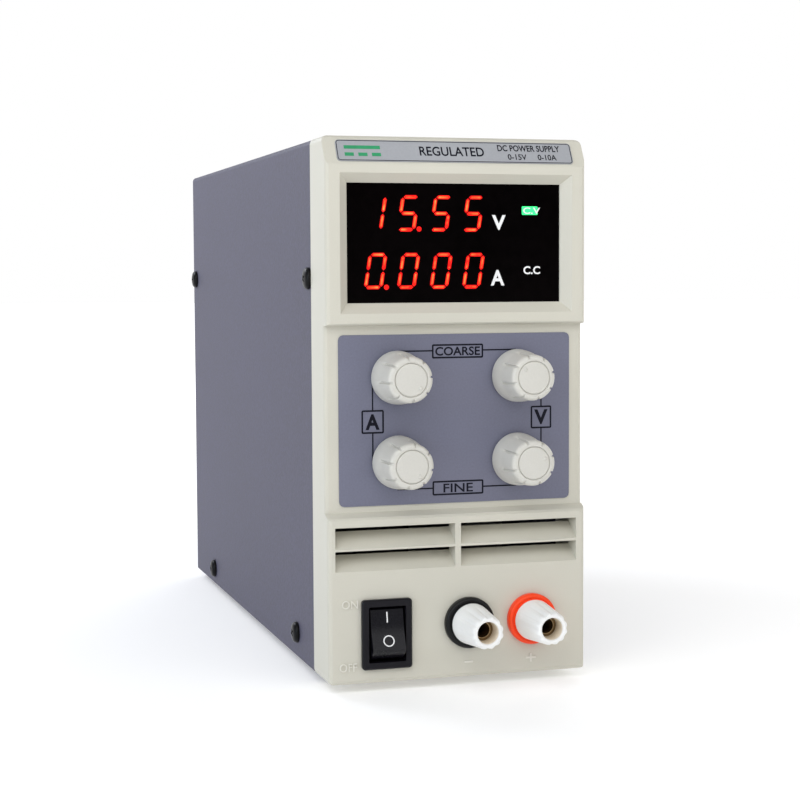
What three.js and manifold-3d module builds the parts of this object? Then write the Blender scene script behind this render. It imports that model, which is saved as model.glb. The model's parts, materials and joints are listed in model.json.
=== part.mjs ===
import * as THREE from 'three';
import { mergeVertices } from 'three/addons/utils/BufferGeometryUtils.js';
import { ConvexGeometry } from 'three/addons/geometries/ConvexGeometry.js';
import Module from 'manifold-3d';

const wasm = await Module();
wasm.setup();

// Driving dimensions in millimetres. Solids are drawn with x = 0 on the centre line, y = 0 on the
// front plane (+y to the rear) and z = 0 on the bezel's lower edge; add() moves them to the frame
// of the part: bounding box centred in x and y, feet standing on z = 0.
const WIDTH = 80, HEIGHT = 159.5, DEPTH = 220;
const BEZEL = 18, WALL = 6, CONTROL_Y = 3, SIDE_WALL = 2.4;
const POST_REACH = 18.2, REAR_REACH = 3.4, FOOT = 2.5;
const FRONT = POST_REACH - (POST_REACH + DEPTH + REAR_REACH) / 2;
const SHEET = 1.2, COVER_X = 39.7, COVER_TOP = 159.4, COVER_BOTTOM = 0.6, INNER_X = COVER_X - SHEET;
const BEND = 1.5;
const PANEL_Y = DEPTH - SHEET, TRAY_Z = 0.4;

const SLANT = { y: 4.2, z: 7.7 };
const DISPLAY = { x: 32.9, z0: 111.2, z1: 146, bevelX: 35.7, bevelZ0: 108.2, bevelZ1: 148.7 };
const DIGITS = { x0: -29.3, x1: 10.9, h: 12.8, voltageZ: 137.3, currentZ: 120.5 };
const KNOBS = [
  { name: 'current_coarse', x: -18.4, z: 89.5 }, { name: 'voltage_coarse', x: 18.8, z: 89.4 },
  { name: 'current_fine', x: -18.2, z: 64.7 }, { name: 'voltage_fine', x: 18.8, z: 64.5 },
];
const POSTS = [
  { name: 'negative', x: 2.8, z: 16.5, colour: 0x17171a },
  { name: 'positive', x: 22.5, z: 16.5, colour: 0xe0371c },
];
const SWITCH = { x: -22.6, z: 14.6, flangeX: 7.6, flangeZ: 10.3, bodyX: 6.5, bodyZ: 9.6, depth: 13 };
const LOUVRES = { columns: [[-37.8, -1.2], [0.55, 37.1]], rows: [[33.3, 39.3], [40, 46.2]] };
const COVER_SCREWS = [
  { name: 'front_upper', y: 21.6, z: 118.5 }, { name: 'rear_upper', y: 214, z: 118.5 },
  { name: 'front_lower', y: 41, z: 8.2 }, { name: 'rear_lower', y: 181, z: 6.4 },
];
const FAN = { x: 0, z: 112, half: 30, y0: 198.8, y1: PANEL_Y, bore: 28.2, pitch: 25, guardY: 221.6 };
const CORNERS = [
  ['left_lower', -1, -1], ['left_upper', -1, 1], ['right_lower', 1, -1], ['right_upper', 1, 1],
];
const INLET = { x: -18, x0: -33, x1: -3, z0: 17, z1: 51, flange: 2.5, back: 203 };
const SELECTOR = { x: 20, z: 34 };

// ---- shape helpers --------------------------------------------------------------------------
function solid(geometry) {
  geometry.deleteAttribute('normal');
  geometry.deleteAttribute('uv');
  const g = mergeVertices(geometry, 1e-4);
  const p = g.attributes.position.array, index = g.index.array, tris = [];
  let volume = 0;
  for (let i = 0; i < index.length; i += 3) {
    const [a, b, c] = [index[i], index[i + 1], index[i + 2]];
    if (a === b || b === c || c === a) continue;
    tris.push(a, b, c);
    const corners = [a, b, c].flatMap((k) => [p[3 * k], p[3 * k + 1], p[3 * k + 2]]);
    const [ax, ay, az, bx, by, bz, cx, cy, cz] = corners;
    volume += ax * (by * cz - bz * cy) + ay * (bz * cx - bx * cz) + az * (bx * cy - by * cx);
  }
  if (volume < 0) for (let i = 0; i < tris.length; i += 3) [tris[i], tris[i + 1]] = [tris[i + 1], tris[i]];
  return new wasm.Manifold(new wasm.Mesh({
    numProp: 3, vertProperties: new Float32Array(p), triVerts: new Uint32Array(tris),
  }));
}

const sum = (...parts) => parts.flat().reduce((a, b) => a.add(b));
const cut = (base, ...tools) => tools.flat().reduce((a, b) => a.subtract(b), base);

function box(x0, x1, y0, y1, z0, z1) {
  const g = new THREE.BoxGeometry(x1 - x0, y1 - y0, z1 - z0);
  return solid(g.translate((x0 + x1) / 2, (y0 + y1) / 2, (z0 + z1) / 2));
}

function extrude(points, depth) {
  const shape = new THREE.Shape(points.map(([a, b]) => new THREE.Vector2(a, b)));
  return new THREE.ExtrudeGeometry(shape, { depth, bevelEnabled: false, steps: 1 });
}
const prismX = (yz, x0, x1) => solid(extrude(yz, x1 - x0).applyMatrix4(new THREE.Matrix4().makeBasis(
  new THREE.Vector3(0, 1, 0), new THREE.Vector3(0, 0, 1), new THREE.Vector3(1, 0, 0))).translate(x0, 0, 0));
const prismY = (xz, y0, y1) => solid(extrude(xz, y1 - y0).rotateX(Math.PI / 2).translate(0, y1, 0));
const prismZ = (xy, z0, z1) => solid(extrude(xy, z1 - z0).translate(0, 0, z0));

// Corner points of a rectangle rounded at all four corners, anticlockwise.
function rounded(x0, x1, z0, z1, r, steps = 3) {
  const corners = [[x1 - r, z1 - r, 0], [x0 + r, z1 - r, 1], [x0 + r, z0 + r, 2], [x1 - r, z0 + r, 3]];
  return corners.flatMap(([cx, cz, q]) => Array.from({ length: steps + 1 }, (_, i) => {
    const a = (q + i / steps) * Math.PI / 2;
    return [cx + r * Math.cos(a), cz + r * Math.sin(a)];
  }));
}

function cylinderY(x, z, r, y0, y1, segments = 16) {
  return solid(new THREE.CylinderGeometry(r, r, y1 - y0, segments).translate(x, (y0 + y1) / 2, z));
}
function cylinderX(y, z, r, x0, x1, segments = 12) {
  const g = new THREE.CylinderGeometry(r, r, x1 - x0, segments).rotateZ(Math.PI / 2);
  return solid(g.translate((x0 + x1) / 2, y, z));
}
function cylinderZ(x, y, r, z0, z1, segments = 16) {
  const g = new THREE.CylinderGeometry(r, r, z1 - z0, segments).rotateX(Math.PI / 2);
  return solid(g.translate(x, y, (z0 + z1) / 2));
}

// Profile points are [radius, y]; a profile off the axis is closed on its first point.
function latheGeometry(profile, segments) {
  const points = profile.map(([r, y]) => new THREE.Vector2(r, y));
  if (profile[0][0] > 0) points.push(points[0].clone());
  return new THREE.LatheGeometry(points, segments);
}
const latheY = (profile, segments, x = 0, z = 0) => solid(
  latheGeometry(profile, segments).translate(x, 0, z));

// A lathe whose outer wall is grooved between two y values: every `period`th line of vertices
// moves in by `groove`.
function fluted(profile, segments, period, groove, rMin, yMin, yMax, x, z) {
  const g = latheGeometry(profile, segments), p = g.attributes.position;
  for (let i = 0; i < p.count; i += 1) {
    const r = Math.hypot(p.getX(i), p.getZ(i));
    const line = Math.round(Math.atan2(p.getX(i), p.getZ(i)) / (2 * Math.PI) * segments);
    if (r < rMin || p.getY(i) < yMin || p.getY(i) > yMax || line % period !== 0) continue;
    p.setX(i, p.getX(i) * (r - groove) / r);
    p.setZ(i, p.getZ(i) * (r - groove) / r);
  }
  return solid(g.translate(x, 0, z));
}

// ---- assembling -----------------------------------------------------------------------------
const group = new THREE.Group();
group.name = 'bench_power_supply';

function add(name, manifold, color, roughness = 0.6, metalness = 0) {
  const mesh = manifold.getMesh(), step = mesh.numProp, position = [];
  for (let i = 0; i < mesh.vertProperties.length; i += step) {
    position.push(...mesh.vertProperties.slice(i, i + 3));
  }
  const geometry = new THREE.BufferGeometry();
  geometry.setAttribute('position', new THREE.Float32BufferAttribute(position, 3));
  geometry.setIndex([...mesh.triVerts]);
  geometry.translate(0, FRONT, FOOT);
  geometry.computeVertexNormals();
  const node = new THREE.Mesh(geometry, new THREE.MeshStandardMaterial({ color, roughness, metalness }));
  node.name = name;
  group.add(node);
}

// ---- front bezel ----------------------------------------------------------------------------
function bezel() {
  const h = WIDTH / 2, side = [
    [BEZEL, 0], [1.2, 0], [0.35, 0.35], [0, 1.2], [0, 48.2], [0.5, 48.9], [CONTROL_Y, 50.2],
    [CONTROL_Y, 104.6], [0.4, 105], [0, 105.4], [0, 150.8], [0.1, 151.2], [0.1 + SLANT.y, 151.2 + SLANT.z],
    [5.1, HEIGHT], [BEZEL, HEIGHT],
  ];
  const plan = (y, r) => [[-h, BEZEL], [-h, y + r], [-h + 0.3 * r, y + 0.3 * r], [-h + r, y],
    [h - r, y], [h - 0.3 * r, y + 0.3 * r], [h, y + r], [h, BEZEL]];
  let body = prismX(side, -h, h)
    .intersect(prismZ(plan(0, 1.2), -1, HEIGHT + 1))
    .intersect(prismY(rounded(-h, h, 0, HEIGHT, 1.7), -1, BEZEL + 1));
  for (const s of [-1, 1]) {
    body = body.subtract(prismZ([[s * 38.9, CONTROL_Y - 0.01], [s * 40.1, CONTROL_Y - 0.01],
      [s * 40.1, CONTROL_Y + 1.2], [s * 39.7, CONTROL_Y + 0.3]], 50.2, 104.6));
  }
  body = body.subtract(box(-h + SIDE_WALL, h - SIDE_WALL, WALL, BEZEL + 1, SIDE_WALL, HEIGHT - SIDE_WALL));

  const d = DISPLAY, out = 0.6, k = out / CONTROL_Y, corners = [];
  for (const s of [-1, 1]) {
    const wide = s * (d.bevelX + (d.bevelX - d.x) * k);
    corners.push(new THREE.Vector3(wide, -out, d.bevelZ0 - (d.z0 - d.bevelZ0) * k),
      new THREE.Vector3(wide, -out, d.bevelZ1 + (d.bevelZ1 - d.z1) * k),
      new THREE.Vector3(s * d.x, CONTROL_Y, d.z0), new THREE.Vector3(s * d.x, CONTROL_Y, d.z1));
  }
  body = cut(body, solid(new ConvexGeometry(corners)), box(-d.x, d.x, 2.5, WALL + 1, d.z0, d.z1),
    box(-35, 35, 3.4, WALL + 1, 109, 148.2));

  for (const [x0, x1] of LOUVRES.columns) {
    for (const [z0, z1] of LOUVRES.rows) {
      const slot = [[-1, z0], [0, z0], [WALL + 0.5, z1 - 1.4], [WALL + 0.5, z1], [-1, z1]];
      body = body.subtract(prismX(slot, x0, x1));
    }
  }
  body = cut(body, KNOBS.map((n) => cylinderY(n.x, n.z, 3.7, 2, WALL + 1)),
    POSTS.map((n) => cylinderY(n.x, n.z, 4.2, -1, WALL + 1)),
    box(SWITCH.x - SWITCH.bodyX - 0.1, SWITCH.x + SWITCH.bodyX + 0.1, -1, WALL + 1,
      SWITCH.z - SWITCH.bodyZ - 0.1, SWITCH.z + SWITCH.bodyZ + 0.1));

  for (const s of [-1, 1]) {
    const [x0, x1] = s < 0 ? [-INNER_X, -36.3] : [36.3, INNER_X];
    body = sum(body, box(x0, x1, 14, 26.5, 112, 126), cylinderY(s * 34, 54.5, 2.2, WALL - 0.5, 13, 8),
      cylinderY(s * 34, 104, 2.2, WALL - 0.5, 13, 8));
    body = body.subtract(cylinderX(COVER_SCREWS[0].y, COVER_SCREWS[0].z, 1.9, x0 - 1, x1 + 1));
  }
  return body;
}
add('front_bezel', bezel(), 0xd8d2c4, 0.55);

add('display_window', box(-34.8, 34.8, 3.4, 5.4, 109.2, 148), 0x0b0b0d, 0.12);
add('control_board', box(-36, 36, 13, 14.6, 51, 150), 0x1f5a34, 0.6);
for (const [name, z] of [['voltage_display', DIGITS.voltageZ], ['current_display', DIGITS.currentZ]]) {
  add(name, box(DIGITS.x0, DIGITS.x1, 5.7, 13, z - DIGITS.h / 2, z + DIGITS.h / 2), 0x2a0a08, 0.5);
}

// name strip on the slanted face above the display
function nameStrip() {
  const half = 36.2, length = 7.1, thick = 0.35;
  const plate = extrude(rounded(-half, half, -length / 2, length / 2, 1), thick)
    .rotateX(Math.PI / 2 - Math.atan2(SLANT.y, SLANT.z))
    .translate(0, 0.1 + SLANT.y * 0.49, 151.2 + SLANT.z * 0.49);
  return solid(plate);
}
add('name_strip', nameStrip(), 0xb9bfc2, 0.4, 0.2);

add('control_overlay', cut(prismY(rounded(-35.8, 35.8, 52, 102, 1.5), CONTROL_Y - 0.4, CONTROL_Y),
  KNOBS.map((n) => cylinderY(n.x, n.z, 3.7, 2, 4))), 0x7c7a92, 0.5);

// ---- knobs, their potentiometers and shafts --------------------------------------------------
const knobProfile = [[0, -9.6], [3, -9.6], [3, -0.2], [5.7, -0.2], [5.7, 1.8], [7.75, 1.8], [7.85, 1.3],
  [7.4, -3.6], [7.05, -5.2], [6.6, -12.3], [6.2, -12.9], [0, -12.9]];
const potProfile = [[0, 11.3], [3.1, 11.3], [3.1, 0.4], [3.5, 0.4], [3.5, 6], [8, 6], [8, 13], [0, 13]];
for (const { name, x, z } of KNOBS) {
  const nut = cut(cylinderY(x, z, 5.2, 1, CONTROL_Y - 0.4, 6), cylinderY(x, z, 3.3, 0, 4));
  add(`potentiometer_${name}`, sum(latheY(potProfile, 16, x, z), nut), 0x8f9499, 0.4, 0.7);
  add(`pot_shaft_${name}`, cylinderY(x, z, 2.9, -9.4, 11, 16), 0xb8bcc0, 0.3, 0.9);
  add(`knob_${name}`, fluted(knobProfile, 32, 4, 0.5, 6.3, -12.7, -4.6, x, z), 0xe6e1d6, 0.5);
}

// ---- rocker switch ---------------------------------------------------------------------------
// The rocker is drawn level, its ends round about the pivot, then turned so that its upper half is in.
const ROCK = 16.5 * Math.PI / 180, PIVOT_Y = 3.1, ROCK_R = 8.05;
function rocker() {
  const upper = [[-4.85, 0], [-5.25, 3.2]];
  for (const a of [47.2, 60, 73, 86, 99]) {
    const t = a * Math.PI / 180;
    upper.push([-ROCK_R * Math.cos(t), ROCK_R * Math.sin(t)]);
  }
  upper.push([3.2, 6.4]);
  const lower = upper.slice(1).reverse().map(([y, z]) => [y, -z]);
  const turned = [...upper, ...lower].map(([y, z]) => [PIVOT_Y + y * Math.cos(ROCK) + z * Math.sin(ROCK),
    SWITCH.z - y * Math.sin(ROCK) + z * Math.cos(ROCK)]);
  const half = 4.975;
  return sum(prismX(turned, SWITCH.x - half, SWITCH.x + half),
    cylinderX(PIVOT_Y, SWITCH.z, 1.2, SWITCH.x - half - 1.15, SWITCH.x + half + 1.15));
}
function switchBody() {
  const { x, z, flangeX: fx, flangeZ: fz, bodyX: bx, bodyZ: bz, depth } = SWITCH;
  const flange = prismY(rounded(x - fx, x + fx, z - fz, z + fz, 1), -1.6, 0);
  return cut(sum(flange, box(x - bx, x + bx, -0.5, depth, z - bz, z + bz)),
    box(x - 5.65, x + 5.65, -3, depth - 1.5, z - 8.25, z + 8.25),
    cylinderX(PIVOT_Y, z, 1.5, x - 6.3, x + 6.3));
}
add('switch_body', switchBody(), 0x101012, 0.35);
add('power_rocker', rocker(), 0x141416, 0.25);

// ---- binding posts ---------------------------------------------------------------------------
const baseProfile = [[2.7, -2.6], [7.1, -2.6], [7.6, -2.1], [7.6, 0], [4, 0], [4, WALL], [2.7, WALL]];
const studProfile = [[0, 1], [2.05, 1], [2.05, -12.6], [2.5, -12.6], [2.5, 14], [0, 14]];
const insertProfile = [[2.8, -12], [3.6, -12], [3.6, -3.4], [2.8, -3.4]];
const capProfile = [[3.9, -2.9], [5.9, -2.9], [6.1, -3.3], [6.05, -4.4], [4.75, -17.7], [4.45, -18.2],
  [3.2, -18.2], [3.2, -12.3], [3.9, -12.3]];
for (const { name, x, z, colour } of POSTS) {
  add(`post_base_${name}`, latheY(baseProfile, 24, x, z), colour, 0.4);
  add(`post_stud_${name}`, latheY(studProfile, 16, x, z), 0xb08d4f, 0.3, 0.9);
  add(`post_insert_${name}`, latheY(insertProfile, 16, x, z), 0xa9843f, 0.3, 0.9);
  add(`post_cap_${name}`, fluted(capProfile, 24, 2, 0.3, 4.6, -18, -4, x, z), 0xf2f1ee, 0.45);
}

// ---- sheet metal case ------------------------------------------------------------------------
function coverProfile() {
  const arc = (r, from, to) => Array.from({ length: 4 }, (_, i) => {
    const a = from + (to - from) * i / 3;
    return [r * Math.cos(a), r * Math.sin(a)];
  });
  const cx = COVER_X - BEND, cz = COVER_TOP - BEND, inside = BEND - SHEET, P = Math.PI;
  const left = ([a, b]) => [a - cx, b + cz], right = ([a, b]) => [a + cx, b + cz];
  return [[-COVER_X, COVER_BOTTOM], [-INNER_X, COVER_BOTTOM],
    ...arc(inside, P, P / 2).map(left), ...arc(inside, P / 2, 0).map(right),
    [INNER_X, COVER_BOTTOM], [COVER_X, COVER_BOTTOM],
    ...arc(BEND, 0, P / 2).map(right), ...arc(BEND, P / 2, P).map(left)];
}
add('case_cover', cut(prismY(coverProfile(), BEZEL + 0.9, DEPTH),
  COVER_SCREWS.map((s) => cylinderX(s.y, s.z, 1.9, -COVER_X - 1, COVER_X + 1))), 0x70707f, 0.7, 0.1);

function tray() {
  const [, rearUpper, frontLower, rearLower] = COVER_SCREWS, sides = [-1, 1];
  const flat = (s, y0, y1, z0, z1) => box(
    ...(s < 0 ? [-INNER_X, SHEET - INNER_X] : [INNER_X - SHEET, INNER_X]), y0, y1, z0, z1);
  const shell = sum(box(-INNER_X, INNER_X, BEZEL, DEPTH, TRAY_Z, TRAY_Z + SHEET),
    prismY(rounded(-INNER_X, INNER_X, TRAY_Z, COVER_TOP - SHEET, 0.6), PANEL_Y, DEPTH),
    sides.flatMap((s) => [flat(s, 30, 206, 1, 13), flat(s, 207, PANEL_Y + 0.5, 111, 127),
      cylinderZ(s * 28, 48, 3, 1, 8, 8), cylinderZ(s * 28, 184, 3, 1, 8, 8)]));
  return cut(shell,
    [frontLower, rearLower, rearUpper].map((s) => cylinderX(s.y, s.z, 1.9, -COVER_X, COVER_X)),
    cylinderY(FAN.x, FAN.z, FAN.bore, PANEL_Y - 1, DEPTH + 1, 32),
    CORNERS.map(([, a, b]) => cylinderY(FAN.x + a * FAN.pitch, FAN.z + b * FAN.pitch, 1.9,
      PANEL_Y - 1, DEPTH + 1, 10)),
    box(INLET.x0 + 1.3, INLET.x1 - 1.3, PANEL_Y - 1, DEPTH + 1, INLET.z0 + 1.3, INLET.z1 - 1.3),
    box(SELECTOR.x - 5.1, SELECTOR.x + 5.1, PANEL_Y - 1, DEPTH + 1, SELECTOR.z - 12.1, SELECTOR.z + 12.1));
}
add('chassis_tray', tray(), 0x84848f, 0.6, 0.3);

// Pan-head screw along +y from a head seat at y = 0; the head stands on the -y side.
const screwProfile = (shank, head) => [
  [0, -1.9], [1.5, -1.8], [head - 0.4, -1.2], [head, -0.4], [head, 0], [1.5, 0], [1.5, shank], [0, shank],
];
for (const [side, s] of [['left', -1], ['right', 1]]) {
  for (const { name, y, z } of COVER_SCREWS) {
    const g = latheGeometry(screwProfile(5, 3.3), 12).rotateZ(s * Math.PI / 2);
    add(`cover_screw_${side}_${name}`, solid(g.translate(s * COVER_X, y, z)), 0x141416, 0.35, 0.6);
  }
}
const footProfile = [[0, -FOOT], [5.2, -FOOT], [6, -FOOT + 0.8], [6, TRAY_Z], [0, TRAY_Z]];
for (const [side, s] of [['left', -1], ['right', 1]]) {
  for (const [end, y] of [['front', 32], ['rear', 204]]) {
    const foot = latheGeometry(footProfile, 20).rotateX(Math.PI / 2);
    add(`foot_${side}_${end}`, solid(foot.translate(s * 25, y, 0)), 0x1b1b1d, 0.9);
  }
}

// ---- rear fan --------------------------------------------------------------------------------
function fanFrame() {
  const { x, z, half, y0, y1, bore, pitch } = FAN;
  const ring = cut(prismY(rounded(x - half, x + half, z - half, z + half, 4), y0, y1),
    cylinderY(x, z, bore, y0 - 1, y1 + 1, 32));
  const struts = [box(x - bore - 0.5, x + bore + 0.5, y1 - 2, y1, z - 1.4, z + 1.4),
    box(x - 1.4, x + 1.4, y1 - 2, y1, z - bore - 0.5, z + bore + 0.5)];
  const motor = [cylinderY(x, z, 13, y1 - 2, y1, 20), cylinderY(x, z, 1.5, y1 - 12, y1 - 1, 12)];
  return cut(sum(ring, struts, motor),
    CORNERS.map(([, a, b]) => cylinderY(x + a * pitch, z + b * pitch, 1.9, y0 - 1, y1 + 1, 10)));
}
function fanRotor() {
  const { x, z, y0, y1 } = FAN, blades = [];
  for (let i = 0; i < 7; i += 1) {
    const g = new THREE.BoxGeometry(1.3, 13, 16).translate(0, 0, 19.2).rotateZ(0.75);
    blades.push(solid(g.rotateY(i / 7 * 2 * Math.PI).translate(x, (y0 + y1) / 2 - 0.6, z)));
  }
  const hub = cylinderY(x, z, 12.5, y0 + 1.5, y1 - 2.6, 24);
  return cut(sum(hub, blades), cylinderY(x, z, 1.8, y1 - 13, y1, 12));
}
function fanGuard() {
  const { x, z, pitch, guardY } = FAN, seg = 24, t = 0.7;
  const ring = (r) => latheY([[r - t, DEPTH], [r + t, DEPTH], [r + t, guardY], [r - t, guardY]], seg, x, z);
  const spokes = [45, 135].map((a) => {
    const g = new THREE.BoxGeometry(2 * Math.hypot(pitch, pitch) - 4, guardY - DEPTH, 1.6);
    return solid(g.rotateY(a * Math.PI / 180).translate(x, (DEPTH + guardY) / 2, z));
  });
  return cut(sum(ring(27.5), ring(20.5), ring(13.5), cylinderY(x, z, 6.5, DEPTH, guardY, 16), spokes,
    CORNERS.map(([, a, b]) => cylinderY(x + a * pitch, z + b * pitch, 3.4, DEPTH, guardY, 12))),
  CORNERS.map(([, a, b]) => cylinderY(x + a * pitch, z + b * pitch, 1.9, DEPTH - 1, guardY + 1, 10)));
}
add('fan_frame', fanFrame(), 0x17171a, 0.5);
add('fan_rotor', fanRotor(), 0x1e1e22, 0.45);
add('fan_guard', fanGuard(), 0xa9adb2, 0.3, 0.9);
for (const [name, a, b] of CORNERS) {
  const g = latheGeometry([[0, 1.8], [1.8, 1.6], [2.9, 0.9], [3, 0], [1.5, 0], [1.5, -12], [0, -12]], 12)
    .translate(FAN.x + a * FAN.pitch, FAN.guardY, FAN.z + b * FAN.pitch);
  add(`fan_screw_${name}`, solid(g), 0x2a2a2e, 0.35, 0.7);
}

// ---- mains inlet with fuse drawer, and the voltage selector -----------------------------------
function inletHousing() {
  const { x, x0, x1, z0, z1, flange, back } = INLET, rear = DEPTH + flange;
  const socket = [
    [x - 12.1, 30.4], [x + 12.1, 30.4], [x + 12.1, 42.5], [x + 7.6, 47], [x - 7.6, 47], [x - 12.1, 42.5],
  ];
  return cut(sum(prismY(rounded(x0, x1, z0, z1, 2), DEPTH, rear),
    box(x0 + 1.5, x1 - 1.5, back, DEPTH + 1, z0 + 1.5, z1 - 1.5)),
  prismY(socket, back + 3.5, rear + 1), box(x - 11.2, x + 11.2, back + 3.5, rear + 1, 20.2, 27.4));
}
add('inlet_housing', inletHousing(), 0x121214, 0.45);
const PINS = [['line', INLET.x + 7, 36.5], ['neutral', INLET.x - 7, 36.5], ['earth', INLET.x, 41]];
for (const [name, x, z] of PINS) {
  add(`inlet_pin_${name}`, box(x - 1, x + 1, INLET.back + 3.5, 217.5, z - 2, z + 2), 0xc9cacc, 0.25, 0.95);
}
add('fuse_drawer', cut(
  box(INLET.x - 10.9, INLET.x + 10.9, INLET.back + 4.2, DEPTH + INLET.flange + 0.2, 20.5, 27.1),
  box(INLET.x - 3, INLET.x + 3, DEPTH + 1, DEPTH + 4, 19, 22)), 0x1b1b1e, 0.5);

const { x: sx, z: sz } = SELECTOR;
add('selector_body', cut(sum(prismY(rounded(sx - 6.5, sx + 6.5, sz - 14, sz + 14, 1), DEPTH, DEPTH + 1),
  box(sx - 5, sx + 5, DEPTH - 10, DEPTH + 0.5, sz - 12, sz + 12)),
box(sx - 3, sx + 3, DEPTH - 5, DEPTH + 2, sz - 8, sz + 8)), 0x131315, 0.5);
add('selector_slider', box(sx - 2.7, sx + 2.7, DEPTH - 4.7, DEPTH + 1.6, sz - 7.7, sz - 0.7), 0xb3271d,
  0.45);

// ---- inside ------------------------------------------------------------------------------------
add('main_board', box(-34, 34, 34, 196, 8, 9.6), 0x1f5a34, 0.6);
add('transformer', sum(box(-20, 12, 92, 122, 9.6, 46), box(-16, 8, 86, 128, 16, 40)), 0xc4a13c, 0.6);
function heatsink() {
  const comb = [[35, 9.6], [35, 64], [33, 64]];
  for (let z = 62; z > 14; z -= 8) comb.push([33, z], [22, z], [22, z - 2], [33, z - 2]);
  return prismY([...comb, [33, 9.6]].reverse(), 60, 170);
}
add('heatsink', heatsink(), 0xa6a8ab, 0.4, 0.8);

export default group;
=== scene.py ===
import json
import math

import bmesh
import bpy
from mathutils import Matrix, Vector


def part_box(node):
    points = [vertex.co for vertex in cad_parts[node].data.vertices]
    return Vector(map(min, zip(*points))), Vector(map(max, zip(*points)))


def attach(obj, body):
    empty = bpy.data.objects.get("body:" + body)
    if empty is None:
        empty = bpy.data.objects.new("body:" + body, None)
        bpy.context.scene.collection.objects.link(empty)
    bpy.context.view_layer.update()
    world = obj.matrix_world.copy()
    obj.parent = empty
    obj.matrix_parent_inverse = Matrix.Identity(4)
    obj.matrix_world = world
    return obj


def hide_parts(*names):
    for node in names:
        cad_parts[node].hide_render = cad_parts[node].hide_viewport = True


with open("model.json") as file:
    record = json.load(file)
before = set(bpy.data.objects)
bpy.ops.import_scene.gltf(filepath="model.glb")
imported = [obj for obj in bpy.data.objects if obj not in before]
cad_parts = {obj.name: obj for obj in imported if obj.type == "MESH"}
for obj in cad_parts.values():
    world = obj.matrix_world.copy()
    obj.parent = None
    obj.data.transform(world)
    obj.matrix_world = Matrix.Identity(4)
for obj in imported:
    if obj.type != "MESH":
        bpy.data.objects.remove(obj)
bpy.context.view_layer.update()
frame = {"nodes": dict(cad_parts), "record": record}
nodes = frame["nodes"]
scene = bpy.context.scene
scene.view_settings.view_transform = "Standard"

# at() takes millimetres from the middle of the bezel's lower front edge
FRONT_Y, BASE_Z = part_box("front_bezel")[0].y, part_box("front_bezel")[0].z
X, Y, Z = Vector((1, 0, 0)), Vector((0, 1, 0)), Vector((0, 0, 1))


def at(x, y, z):
    return Vector((x / 1000, FRONT_Y + y / 1000, BASE_Z + z / 1000))


def mm(point):
    """The inverse of at()."""
    return point.x * 1000, (point.y - FRONT_Y) * 1000, (point.z - BASE_Z) * 1000


def centre_mm(node):
    low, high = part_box(node)
    return mm((low + high) / 2)


# ---- camera and lamps ----------------------------------------------------------------
CAMERA_YAW, CAMERA_PITCH, CAMERA_ROLL = 16.51, -3.92, -0.30  # degrees
CAMERA_PLACE = (-163.0, -489.1, 118.0)  # mm, for at()
CAMERA_LENS, CAMERA_SENSOR = 79.07, 36  # mm
CAMERA_CLIP = (0.02, 60)  # m


def make_camera():
    yaw, pitch, roll = (math.radians(a) for a in (CAMERA_YAW, CAMERA_PITCH, CAMERA_ROLL))
    ahead = Vector((math.sin(yaw) * math.cos(pitch), math.cos(yaw) * math.cos(pitch), math.sin(pitch)))
    side = Vector((math.cos(yaw), -math.sin(yaw), 0))
    top = side.cross(ahead)
    right = side * math.cos(roll) + top * math.sin(roll)
    up = top * math.cos(roll) - side * math.sin(roll)
    data = bpy.data.cameras.new("camera")
    data.lens, data.sensor_width = CAMERA_LENS, CAMERA_SENSOR
    data.clip_start, data.clip_end = CAMERA_CLIP
    camera = bpy.data.objects.new("camera", data)
    scene.collection.objects.link(camera)
    place = at(*CAMERA_PLACE)
    camera.matrix_world = Matrix((
        (right.x, up.x, -ahead.x, place.x), (right.y, up.y, -ahead.y, place.y),
        (right.z, up.z, -ahead.z, place.z), (0, 0, 0, 1)))
    scene.camera = camera


def area_light(name, location, target, size, power, colour):
    data = bpy.data.lights.new(name, "AREA")
    data.shape, data.size, data.energy, data.color = "DISK", size, power, colour
    lamp = bpy.data.objects.new(name, data)
    scene.collection.objects.link(lamp)
    lamp.location = location
    lamp.rotation_mode = "QUATERNION"
    lamp.rotation_quaternion = (Vector(target) - Vector(location)).to_track_quat("-Z", "Y")


# ---- materials -----------------------------------------------------------------------
NOISE_LOW, NOISE_HIGH = 0.36, 0.64  # noise that gives the darker and the lighter colour
ROUGH_LOW, ROUGH_HIGH = 0.3, 0.7  # noise that gives the lower and the higher roughness


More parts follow.
